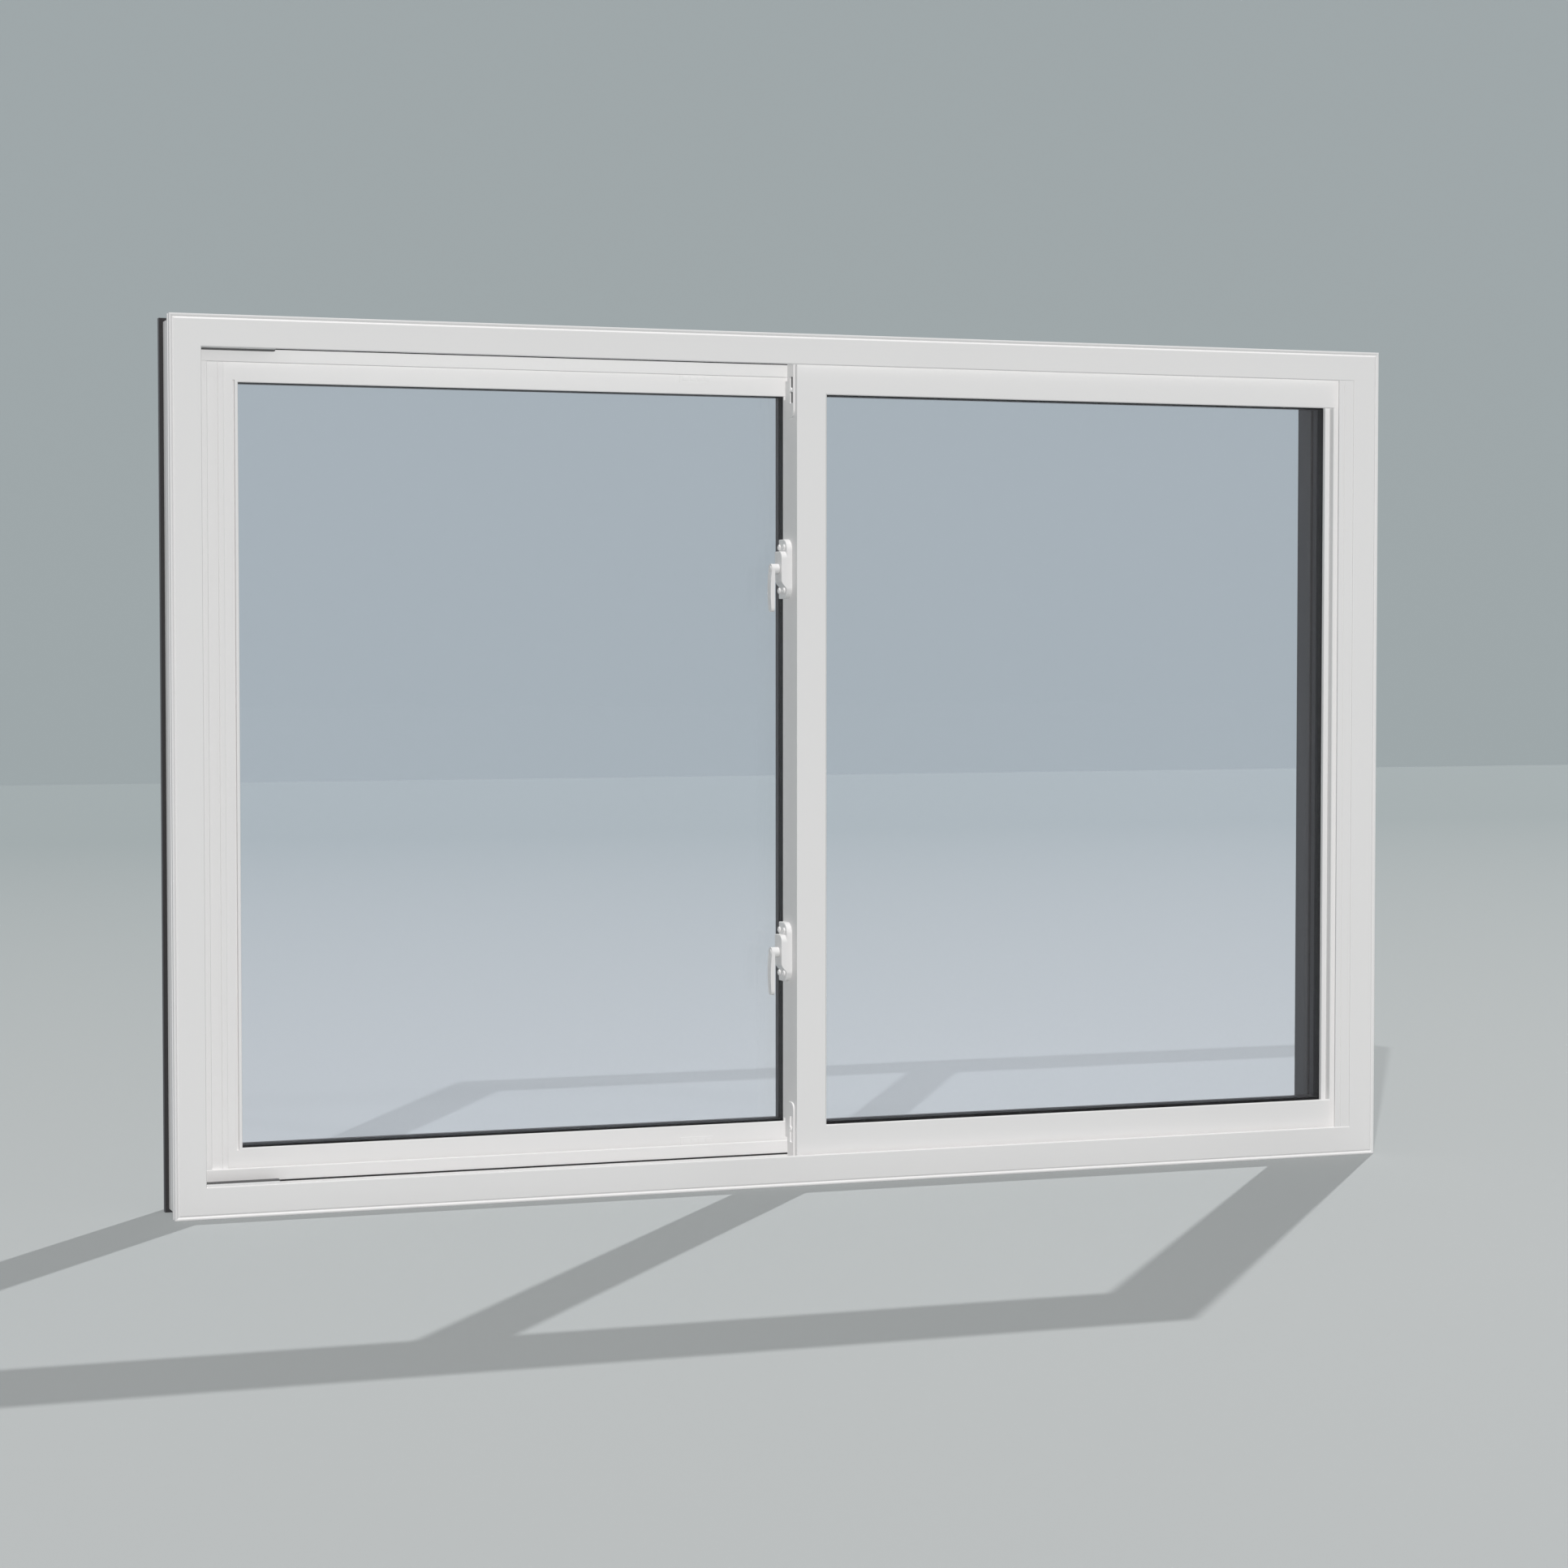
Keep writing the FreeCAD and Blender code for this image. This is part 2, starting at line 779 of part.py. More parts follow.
def clip(low):
    """A thin retainer clip with round corners on the face of a fixed rail."""
    right = clip_left + clip_length
    high = low + clip_height
    corners = ((clip_left, low), (right, low), (right, high), (clip_left, high))
    outline = [(x, z, clip_round) for x, z in corners]
    return sheet(outline, (fixed_front - clip_thickness, fixed_front))


def lock_parts():
    """Lock bases on the side of the meeting stile, and their levers."""
    made = {}
    middle = frame_height / 2
    for name, z in (("upper", middle + lock_offset), ("lower", middle - lock_offset)):
        made[name + "_lock_base"] = lock_base(z)
        made[name + "_lock_lever"] = lock_lever(z + lever_hub_rise)
    return made


def lock_base(middle):
    """A plate with round room-side corners, and a housing on it that ramps down to the plate."""
    plate_face = sash_left - lock_plate_thickness
    housing_face = plate_face - lock_housing_thickness
    plate_back = lock_front + lock_plate_width
    low = middle - lock_plate_height / 2
    high = middle + lock_plate_height / 2
    plate = side_plate(
        [
            (lock_front, low, lock_plate_round),
            (plate_back, low, lock_edge_round),
            (plate_back, high, lock_edge_round),
            (lock_front, high, lock_plate_round),
        ],
        (plate_face, sash_left),
    )
    rim = [edge for edge in plate.Edges if edge.BoundBox.XMax < plate_face + 0.01]
    plate = plate.makeFillet(lock_edge_round, rim)
    foot = middle - lock_housing_bottom
    crown = middle + lock_housing_top
    housing_back = lock_front + lock_housing_width
    plan = side_plate(
        [
            (lock_front, foot),
            (housing_back, foot),
            (housing_back, crown, lock_edge_round),
            (lock_front, crown, lock_housing_round),
        ],
        (housing_face, sash_left),
    )
    profile = sheet(
        [
            (sash_left, foot),
            (sash_left, crown),
            (housing_face, crown, lock_edge_round),
            (housing_face, foot + lock_housing_ramp, lock_housing_round),
            (plate_face, foot, lock_edge_round),
        ],
        (lock_front, housing_back),
    )
    return plate.fuse(plan.common(profile)).removeSplitter()


def lock_lever(hub_z):
    """A round hub with a bowed, tapering lever that hangs from it."""
    housing_face = sash_left - lock_plate_thickness - lock_housing_thickness
    hub_start = housing_face - lever_room
    inner_x = hub_start - lever_reach
    outer_x = inner_x - lever_thickness
    y = front_y + lever_centre_depth
    hub = Part.makeCylinder(lever_hub_radius, hub_start - outer_x, Vector(outer_x, y, hub_z), Vector(1, 0, 0))
    tip_z = hub_z - lever_length
    tip_reach = lever_width / 2
    near = y - lever_hub_radius
    bowed = [
        Part.LineSegment(Vector(inner_x, near, hub_z), Vector(inner_x, near, tip_z)).toShape(),
        Part.LineSegment(Vector(inner_x, near, tip_z), Vector(outer_x, near, tip_z)).toShape(),
        Part.Arc(
            Vector(outer_x, near, tip_z),
            Vector(outer_x - lever_bow, near, (hub_z + tip_z) / 2),
            Vector(outer_x, near, hub_z),
        ).toShape(),
        Part.LineSegment(Vector(outer_x, near, hub_z), Vector(inner_x, near, hub_z)).toShape(),
    ]
    blade = Part.Face(Part.Wire(bowed)).extrude(Vector(0, 2 * lever_hub_radius, 0))
    taper = side_plate(
        [
            (lever_centre_depth - lever_hub_radius, hub_z),
            (lever_centre_depth - tip_reach, tip_z, 0.45 * lever_width),
            (lever_centre_depth + tip_reach, tip_z, 0.45 * lever_width),
            (lever_centre_depth + lever_hub_radius, hub_z),
        ],
        (outer_x - 2 * lever_bow, inner_x),
    )
    return hub.fuse(blade.common(taper)).removeSplitter()


def main():
    """Build every piece and write it to a file of its own name."""
    parts = {}
    parts.update(frame_parts())
    parts.update(track_parts())
    parts.update(fixed_sash_parts())
    parts.update(sliding_sash_parts())
    parts.update(lock_parts())
    os.makedirs("parts", exist_ok=True)
    for name, shape in parts.items():
        shape.exportStep(os.path.join("parts", name + ".step"))
        print(name, len(shape.Solids), "solids", round(shape.Volume / 1000), "cm3", shape.isValid())


main()
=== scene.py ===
import logging
import math
from dataclasses import dataclass, field
from enum import Enum

import bmesh
import bpy
from mathutils import Matrix, Vector


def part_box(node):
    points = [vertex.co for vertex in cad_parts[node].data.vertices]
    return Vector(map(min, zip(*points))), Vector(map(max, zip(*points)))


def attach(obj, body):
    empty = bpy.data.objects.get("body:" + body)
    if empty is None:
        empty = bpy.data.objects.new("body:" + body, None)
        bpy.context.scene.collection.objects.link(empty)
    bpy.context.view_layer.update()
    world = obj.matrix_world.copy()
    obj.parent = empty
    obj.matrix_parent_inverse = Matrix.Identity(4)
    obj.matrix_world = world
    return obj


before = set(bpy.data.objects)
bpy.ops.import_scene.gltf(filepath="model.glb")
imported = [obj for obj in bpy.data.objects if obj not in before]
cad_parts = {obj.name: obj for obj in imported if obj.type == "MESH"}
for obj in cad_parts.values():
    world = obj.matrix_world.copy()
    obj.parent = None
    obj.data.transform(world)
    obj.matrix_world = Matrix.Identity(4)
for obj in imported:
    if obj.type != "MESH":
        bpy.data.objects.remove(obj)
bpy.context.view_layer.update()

log = logging.getLogger("sliding_window")

Colour = tuple[float, float, float]
Direction = tuple[float, float, float]
MILLIMETRE = 0.001

# Sockets of a colour mix node, whose names are shared by its other data types.
MIX_FIRST = 6
MIX_SECOND = 7
MIX_RESULT = 2


class Run(Enum):
    """The way along which a bar was drawn, so the way its fine streaks run."""

    ACROSS = "across"
    UPRIGHT = "upright"
    EVEN = "even"


class Slot(Enum):
    """Material slots of the record."""

    WHITE = "white_profile"
    SEAL = "black_seal"
    ROLLER = "roller_plastic"
    LOCK = "white_lock"


class Place(Enum):
    """The two locks, and the two ends of the meeting stile."""

    UPPER = "upper"
    LOWER = "lower"


class Reach(Enum):
    """What a lamp lights: all there is, or the floor alone."""

    ALL = "all"
    FLOOR = "floor"


STREAK_STRETCH: dict[Run, Direction] = {
    Run.ACROSS: (0.02, 1.0, 1.0),
    Run.UPRIGHT: (1.0, 1.0, 0.02),
    Run.EVEN: (1.0, 1.0, 1.0),
}


class Wiring:
    """Adds nodes to one node tree and links them."""

    def __init__(self, tree: bpy.types.NodeTree) -> None:
        """Keep the tree that the nodes go into.

        Args:
            tree: A material's or a group's node tree.
        """
        self.tree = tree

    def node(self, kind: str, **values: object) -> bpy.types.Node:
        """Add a node and set its inputs.

        Args:
            kind: The node's type name.
            values: Input values by socket name, with spaces as underscores.

        Returns:
            The new node.
        """
        made = self.tree.nodes.new(kind)
        for name, value in values.items():
            made.inputs[name.replace("_", " ")].default_value = value
        return made

    def link(self, source: bpy.types.NodeSocket, target: bpy.types.NodeSocket) -> None:
        """Join an output socket to an input socket.

        Args:
            source: The output socket.
            target: The input socket.
        """
        self.tree.links.new(source, target)

    def maths(
        self, operation: str, first: bpy.types.NodeSocket | float, second: bpy.types.NodeSocket | float
    ) -> bpy.types.NodeSocket:
        """Add a maths node.

        Args:
            operation: The sum that it does, such as MULTIPLY.
            first: A socket or a number.
            second: A socket or a number.

        Returns:
            The socket with the result.
        """
        made = self.tree.nodes.new("ShaderNodeMath")
        made.operation = operation
        for index, term in enumerate((first, second)):
            if isinstance(term, bpy.types.NodeSocket):
                self.link(term, made.inputs[index])
            else:
                made.inputs[index].default_value = term
        return made.outputs[0]

    def colour_mix(self, first: Colour, second: Colour, blend: str = "MIX") -> bpy.types.Node:
        """Add a node that mixes two colours.

        Args:
            first: The colour at a factor of zero.
            second: The colour that comes in as the factor grows.
            blend: How the second colour goes over the first.

        Returns:
            The new node, with its factor still to be linked.
        """
        made = self.tree.nodes.new("ShaderNodeMix")
        made.data_type = "RGBA"
        made.blend_type = blend
        made.inputs[MIX_FIRST].default_value = (*first, 1.0)
        made.inputs[MIX_SECOND].default_value = (*second, 1.0)
        return made


class SurfaceGrain:
    """A shared effect: fine streaks or grain, and a slow change of tone."""

    name: str = "surface_grain"
    fine_detail: float = 4.0
    fine_roughness: float = 0.6
    broad_scale: float = 3.0
    broad_detail: float = 2.0
    middle_of_both: float = 1.0

    @classmethod
    def group(cls) -> bpy.types.NodeTree:
        """Build the group once.

        Returns:
            The node group, with Colour, Roughness and Height outputs.
        """
        if cls.name in bpy.data.node_groups:
            return bpy.data.node_groups[cls.name]
        tree = bpy.data.node_groups.new(cls.name, "ShaderNodeTree")
        face = tree.interface
        face.new_socket("Stretch", in_out="INPUT", socket_type="NodeSocketVector")
        for name in ("Scale", "Tone", "Roughness", "Spread"):
            face.new_socket(name, in_out="INPUT", socket_type="NodeSocketFloat")
        face.new_socket("Colour", in_out="INPUT", socket_type="NodeSocketColor")
        face.new_socket("Colour", in_out="OUTPUT", socket_type="NodeSocketColor")
        face.new_socket("Roughness", in_out="OUTPUT", socket_type="NodeSocketFloat")
        face.new_socket("Height", in_out="OUTPUT", socket_type="NodeSocketFloat")
        wiring = Wiring(tree)
        given = wiring.node("NodeGroupInput").outputs
        put = wiring.node("NodeGroupOutput").inputs
        place = wiring.node("ShaderNodeTexCoord").outputs["Object"]
        stretch = wiring.node("ShaderNodeVectorMath")
        stretch.operation = "MULTIPLY"
        wiring.link(place, stretch.inputs[0])
        wiring.link(given["Stretch"], stretch.inputs[1])
        fine = wiring.node("ShaderNodeTexNoise", Detail=cls.fine_detail, Roughness=cls.fine_roughness)
        wiring.link(stretch.outputs[0], fine.inputs["Vector"])
        wiring.link(given["Scale"], fine.inputs["Scale"])
        broad = wiring.node("ShaderNodeTexNoise", Scale=cls.broad_scale, Detail=cls.broad_detail)
        wiring.link(place, broad.inputs["Vector"])
        mixed = wiring.maths("ADD", fine.outputs["Fac"], broad.outputs["Fac"])
        centred = wiring.maths("SUBTRACT", mixed, cls.middle_of_both)
        tone = wiring.maths("MULTIPLY", centred, given["Tone"])
        level = wiring.maths("ADD", tone, 1.0)
        shade = wiring.node("ShaderNodeVectorMath")
        shade.operation = "SCALE"
        wiring.link(given["Colour"], shade.inputs[0])
        wiring.link(level, shade.inputs["Scale"])
        wiring.link(shade.outputs[0], put["Colour"])
        change = wiring.maths("MULTIPLY", centred, given["Spread"])
        wiring.link(wiring.maths("ADD", change, given["Roughness"]), put["Roughness"])
        wiring.link(fine.outputs["Fac"], put["Height"])
        return tree


@dataclass(frozen=True)
class GrainedFinish:
    """A solid finish with streaks or grain in its colour, gloss and relief."""

    name: str
    colour: Colour
    roughness: float
    run: Run = Run.EVEN
    scale: float = 900.0
    tone: float = 0.02
    spread: float = 0.08
    relief: float = 0.04
    relief_depth: float = 0.0002
    metallic: float = 0.0
    specular: float = 0.5

    def material(self) -> bpy.types.Material:
        """Make the material, or give the one made before.

        Returns:
            A node material of this finish.
        """
        if self.name in bpy.data.materials:
            return bpy.data.materials[self.name]
        made = bpy.data.materials.new(self.name)
        made.use_nodes = True
        wiring = Wiring(made.node_tree)
        shader = made.node_tree.nodes["Principled BSDF"]
        shader.inputs["Metallic"].default_value = self.metallic
        shader.inputs["Specular IOR Level"].default_value = self.specular
        grain = wiring.node("ShaderNodeGroup")
        grain.node_tree = SurfaceGrain.group()
        grain.inputs["Stretch"].default_value = STREAK_STRETCH[self.run]
        grain.inputs["Scale"].default_value = self.scale
        grain.inputs["Tone"].default_value = self.tone
        grain.inputs["Roughness"].default_value = self.roughness
        grain.inputs["Spread"].default_value = self.spread
        grain.inputs["Colour"].default_value = (*self.colour, 1.0)
        bump = wiring.node("ShaderNodeBump", Strength=self.relief, Distance=self.relief_depth)
        wiring.link(grain.outputs["Colour"], shader.inputs["Base Color"])
        wiring.link(grain.outputs["Roughness"], shader.inputs["Roughness"])
        wiring.link(grain.outputs["Height"], bump.inputs["Height"])
        wiring.link(bump.outputs["Normal"], shader.inputs["Normal"])
        return made


@dataclass(frozen=True)
class GlassFinish:
    """Clear glass that lets soft light through to what stands behind it."""

    name: str
    colour: Colour
    roughness: float = 0.0
    refraction: float = 1.33
    shadow: Colour = (0.995, 0.998, 1.0)

    def material(self) -> bpy.types.Material:
        """Make the material, or give the one made before.

        Returns:
            A node material of this glass.
        """
        if self.name in bpy.data.materials:
            return bpy.data.materials[self.name]
        made = bpy.data.materials.new(self.name)
        made.use_nodes = True
        wiring = Wiring(made.node_tree)
        nodes = made.node_tree.nodes
        shader = nodes["Principled BSDF"]
        shader.inputs["Base Color"].default_value = (*self.colour, 1.0)
        shader.inputs["Roughness"].default_value = self.roughness
        shader.inputs["IOR"].default_value = self.refraction
        shader.inputs["Transmission Weight"].default_value = 1.0
        clear = wiring.node("ShaderNodeBsdfTransparent", Color=(*self.shadow, 1.0))
        path = wiring.node("ShaderNodeLightPath")
        pick = wiring.maths("MAXIMUM", path.outputs["Is Shadow Ray"], path.outputs["Is Diffuse Ray"])
        mix = wiring.node("ShaderNodeMixShader")
        wiring.link(pick, mix.inputs["Fac"])
        wiring.link(shader.outputs["BSDF"], mix.inputs[1])
        wiring.link(clear.outputs["BSDF"], mix.inputs[2])
        wiring.link(mix.outputs["Shader"], nodes["Material Output"].inputs["Surface"])
        return made


@dataclass(frozen=True)
class FloorFinish:
    """A plain matt ground whose tone changes slowly along Y. Seen through the glass it is painted lighter
    and bluer, a painted reflection standing in for the glass's pale veil.
    """

    name: str
    near: Colour
    far: Colour
    through: Colour
    start: float = 0.0
    end: float = 1.0
    roughness: float = 0.9
    specular: float = 0.1

    def material(self) -> bpy.types.Material:
        """Make the ground's material.

        Returns:
            A node material that fades along Y.
        """
        made = bpy.data.materials.new(self.name)
        made.use_nodes = True
        wiring = Wiring(made.node_tree)
        shader = made.node_tree.nodes["Principled BSDF"]
        shader.inputs["Roughness"].default_value = self.roughness
        shader.inputs["Specular IOR Level"].default_value = self.specular
        split = wiring.node("ShaderNodeSeparateXYZ")
        wiring.link(wiring.node("ShaderNodeTexCoord").outputs["Object"], split.inputs[0])
        fade = wiring.node("ShaderNodeMapRange", From_Min=self.start, From_Max=self.end)
        wiring.link(split.outputs["Y"], fade.inputs["Value"])
        mix = wiring.colour_mix(self.near, self.far)
        wiring.link(fade.outputs["Result"], mix.inputs["Factor"])
        # Painted reflection: rays through the glass see this surface multiplied by a lighter, bluer tint,
        # in place of the glass's reflected veil.
        tint = wiring.colour_mix(self.near, self.through, "MULTIPLY")
        path = wiring.node("ShaderNodeLightPath")
        wiring.link(path.outputs["Is Transmission Ray"], tint.inputs["Factor"])
        wiring.link(mix.outputs[MIX_RESULT], tint.inputs[MIX_FIRST])
        wiring.link(tint.outputs[MIX_RESULT], shader.inputs["Base Color"])
        return made


PROFILE_WHITE: Colour = (0.81, 0.8, 0.795)


def white_satin(run: Run) -> GrainedFinish:
    """Give the satin white of the profiles, with faint streaks along a run.

    Args:
        run: The way the streaks go.

    Returns:
        The finish.
    """
    return GrainedFinish(
        "white_satin_" + run.value,
        PROFILE_WHITE,
        roughness=0.42,
        run=run,
        scale=700.0,
        tone=0.012,
        relief=0.05,
        specular=0.25,
    )


def dark_satin(run: Run) -> GrainedFinish:
    """Give the dark satin paint of the cladding, with faint streaks along a run.

    Args:
        run: The way the streaks go.

    Returns:
        The finish.
    """
    return GrainedFinish(
        "dark_satin_paint_" + run.value,
        (0.033, 0.031, 0.032),
        roughness=0.4,
        run=run,
        scale=1100.0,
        tone=0.1,
        spread=0.12,
        relief=0.1,
        specular=0.25,
    )


WHITE: dict[Run, GrainedFinish] = {run: white_satin(run) for run in Run}
DARK: dict[Run, GrainedFinish] = {run: dark_satin(run) for run in Run}
GLASS = GlassFinish("float_glass", (0.99, 0.995, 1.0))
SEAL = GrainedFinish(
    "black_pile", (0.018, 0.018, 0.019), roughness=0.9, scale=2500.0, tone=0.3, spread=0.05, relief=0.8
)
SPACER = GrainedFinish(
    "spacer_black",
    (0.008, 0.008, 0.009),
    roughness=0.6,
    scale=1500.0,
    tone=0.15,
    spread=0.1,
    relief=0.3,
    specular=0.15,
)
RAIL = GrainedFinish(
    "drawn_rail",
    (0.72, 0.73, 0.74),
    roughness=0.32,
    run=Run.ACROSS,
    scale=1400.0,
    tone=0.05,
    spread=0.15,
    relief=0.15,
    metallic=1.0,
)
BLOCK = GrainedFinish(
    "pale_moulding", (0.72, 0.72, 0.72), roughness=0.5, scale=1300.0, tone=0.04, spread=0.1, relief=0.15
)
PAD = GrainedFinish(
    "pile_pad", (0.1, 0.1, 0.1), roughness=0.9, scale=2500.0, tone=0.3, spread=0.05, relief=0.8
)
ROLLER = GrainedFinish(
    "roller_moulding", (0.1, 0.1, 0.1), roughness=0.45, scale=1300.0, tone=0.05, spread=0.1, relief=0.15
)
LOCK = GrainedFinish(
    "white_lock_paint", PROFILE_WHITE, roughness=0.3, tone=0.01, spread=0.06, relief=0.06, specular=0.3
)
# Near-black sheets at the pocket floors behind the upper end-plate slots: painted shade that makes the
# shallow slots read as deep dark holes.
PAINTED_SLOT_SHADE = GrainedFinish(
    "catch_black", (0.03, 0.03, 0.032), roughness=0.5, scale=1500.0, tone=0.1, spread=0.1, relief=0.2
)


def dress(node: str, finish: GrainedFinish | GlassFinish) -> None:
    """Give a node of the frame its finish.

    Args:
        node: The node's name.
        finish: The finish that covers all of it.
    """
    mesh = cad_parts[node].data
    mesh.materials.clear()
    mesh.materials.append(finish.material())
    log.info("dressed %s in %s", node, finish.name)


def add_piece(name: str, shape: bmesh.types.BMesh, finish: GrainedFinish, body: str) -> None:
    """Turn a finished shape into a piece that rides on a body.

    Args:
        name: The piece's name.
        shape: The shape in metres, in place. It is freed here.
        finish: The finish that covers it.
        body: The body that carries it.
    """
    bmesh.ops.recalc_face_normals(shape, faces=shape.faces)
    mesh = bpy.data.meshes.new(name)
    shape.to_mesh(mesh)
    shape.free()
    mesh.materials.append(finish.material())
    piece = bpy.data.objects.new(name, mesh)
    bpy.context.scene.collection.objects.link(piece)
    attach(piece, body)
    log.info("made %s on %s", name, body)


@dataclass
class PanScrew:
    """A pan-head screw or pin end, with or without a cross recess."""

    radius: float = 3.4 * MILLIMETRE
    height: float = 1.6 * MILLIMETRE
    recess: float = 0.9 * MILLIMETRE
    arm: float = 1.9 * MILLIMETRE
    arm_width: float = 0.8 * MILLIMETRE
    turn: float = math.radians(20)
    crossed: bool = True
    segments: int = 32
    crown_share: float = 0.6
    crown_segments: int = 4
    tolerance: float = 1e-7

    def build(self, seat: Vector) -> bmesh.types.BMesh:
        """Model the head with its face towards minus X.

        Args:
            seat: The middle of the seat that the head lies on.

        Returns:
            The shape, in place.
        """
        shape = bmesh.new()
        bmesh.ops.create_cone(
            shape,
            cap_ends=True,
            segments=self.segments,
            radius1=self.radius,
            radius2=self.radius,
            depth=self.height,
        )
        top = [e for e in shape.edges if all(v.co.z > 0 for v in e.verts)]
        bmesh.ops.bevel(
            shape,
            geom=top,
            offset=self.height * self.crown_share,
            affect="EDGES",
            segments=self.crown_segments,
            profile=0.5,
            material=-1,
        )
        if self.crossed:
            self.cut_cross(shape)
        bmesh.ops.translate(shape, vec=(0, 0, self.height / 2), verts=shape.verts)
        bmesh.ops.rotate(shape, matrix=Matrix.Rotation(self.turn, 3, "Z"), verts=shape.verts)
        bmesh.ops.rotate(shape, matrix=Matrix.Rotation(-math.pi / 2, 3, "Y"), verts=shape.verts)
        bmesh.ops.translate(shape, vec=seat, verts=shape.verts)
        return shape

    def cut_cross(self, shape: bmesh.types.BMesh) -> None:
        """Sink a cross into the flat top of the head.

        Args:
            shape: The head, standing on its middle with its top towards plus Z.
        """
        half = self.arm_width / 2
        for axis in (Vector((1, 0, 0)), Vector((0, 1, 0))):
            for offset in (-self.arm, -half, half, self.arm):
                top = self.flat_top(shape)
                edges = list({e for f in top for e in f.edges})
                corners = list({v for f in top for v in f.verts})
                bmesh.ops.bisect_plane(
                    shape,
                    geom=top + edges + corners,
                    dist=self.tolerance,
                    plane_co=axis * offset,
                    plane_no=axis,
                )
        cross = [f for f in self.flat_top(shape) if self.in_cross(f.calc_center_median())]
        grown = bmesh.ops.extrude_face_region(shape, geom=cross)
        bmesh.ops.delete(shape, geom=cross, context="FACES")
        sunk = [v for v in grown["geom"] if isinstance(v, bmesh.types.BMVert)]
        bmesh.ops.translate(shape, vec=(0, 0, -self.recess), verts=sunk)

    def flat_top(self, shape: bmesh.types.BMesh) -> list[bmesh.types.BMFace]:
        """Give the faces of the flat top of the head.

        Args:
            shape: The head, standing on its middle with its top towards plus Z.

        Returns:
            The faces that lie in the top.
        """
        level = self.height / 2 - self.tolerance
        return [f for f in shape.faces if all(v.co.z > level for v in f.verts)]

    def in_cross(self, point: Vector) -> bool:
        """Tell whether a point of the top lies in the cross.

        Args:
            point: The point, measured from the middle of the head.

        Returns:
            True in either arm of the cross.
        """
        across = min(abs(point.x), abs(point.y))
        along = max(abs(point.x), abs(point.y))
        return across < self.arm_width / 2 and along < self.arm


@dataclass
class SoftBlock:
    """A small block with bevelled edges."""

    low: Vector
    high: Vector
    bevel: float = 0.3 * MILLIMETRE
    segments: int = 3

    def build(self) -> bmesh.types.BMesh:
        """Model the block.

        Returns:
            The shape, in place.
        """
        shape = bmesh.new()
        bmesh.ops.create_cube(shape, size=1.0)
        bmesh.ops.scale(shape, vec=self.high - self.low, verts=shape.verts)
        bmesh.ops.translate(shape, vec=(self.low + self.high) / 2, verts=shape.verts)
        bmesh.ops.bevel(
            shape,
            geom=shape.edges[:],
            offset=self.bevel,
            affect="EDGES",
            segments=self.segments,
            profile=0.5,
            material=-1,
        )
        return shape


@dataclass
class OuterFrame:
    """Head, sill and jambs, with the dark cladding outside them."""

    across: tuple[str, ...] = ("head", "sill")
    upright: tuple[str, ...] = ("left_jamb", "right_jamb")

    def dress(self) -> None:
        """Cover the white bars and the dark ones behind them."""
        for node in self.across:
            dress(node, WHITE[Run.ACROSS])
            dress(node + "_cladding", DARK[Run.ACROSS])
        for node in self.upright:
            dress(node, WHITE[Run.UPRIGHT])
            dress(node.replace("_jamb", "_cladding"), DARK[Run.UPRIGHT])


@dataclass
class Track:
    """Covers, seals, rail, stop blocks and liners between the frame and the sashes."""

    across: tuple[str, ...] = ("head_track_cover", "sill_track_cover")
    upright: tuple[str, ...] = ("left_track_cover", "right_track_cover", "left_liner", "right_liner")
    dark_across: tuple[str, ...] = ("head_screen_track", "sill_screen_track")
    blocks: tuple[str, ...] = ("sill_stop_block", "head_stop_block")
    pad_depth: float = 10.0 * MILLIMETRE
    sill_pad_rise: float = 2.0 * MILLIMETRE
    head_pad_drop: float = 2.0 * MILLIMETRE
    block_slant: float = 8.0 * MILLIMETRE
    pad_bevel: float = 0.6 * MILLIMETRE

    def dress(self) -> None:
        """Cover every piece of the track."""
        for node in self.across:
            dress(node, WHITE[Run.ACROSS])
        for node in self.upright:
            dress(node, WHITE[Run.UPRIGHT])
        for node in self.dark_across:
            dress(node, DARK[Run.ACROSS])
        dress("jamb_screen_track", DARK[Run.UPRIGHT])
        for node in ("head_seal", "sill_seal"):
            dress(node, SEAL)
        for node in self.blocks:
            dress(node, BLOCK)
        dress("roller_rail", RAIL)

    def build(self) -> None:
        """Set a dark pile pad behind each stop block, a little beyond its free edge."""
        for node in self.blocks:
            low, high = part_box(node)
            bottom, top = low.z, high.z + self.sill_pad_rise
            if node.startswith("head"):
                bottom, top = low.z - self.head_pad_drop, high.z
            pad = SoftBlock(
                Vector((low.x, high.y, bottom)),
                Vector((high.x - self.block_slant, high.y + self.pad_depth, top)),
                bevel=self.pad_bevel,
            )
            add_piece(node.replace("stop_block", "pile_pad"), pad.build(), PAD, "frame")


@dataclass
class GlazedSash:
    """A glazed sash, named by the first word of its nodes."""

    prefix: str
    stiles: tuple[str, ...]
    trim: tuple[str, ...] = field(default_factory=tuple)

    def dress(self) -> None:
        """Cover rails, stiles, glass, spacer, stops and trim."""
        for rail in ("top_rail", "bottom_rail"):
            dress(f"{self.prefix}_{rail}", WHITE[Run.ACROSS])
        for stile in self.stiles:
            dress(f"{self.prefix}_{stile}", WHITE[Run.UPRIGHT])
        for pane in ("inner_pane", "outer_pane"):
            dress(f"{self.prefix}_{pane}", GLASS)
        dress(f"{self.prefix}_spacer", SPACER)
        dress(f"{self.prefix}_outer_stops", DARK[Run.EVEN])
        for piece in self.trim:
            dress(f"{self.prefix}_{piece}", WHITE[Run.EVEN])


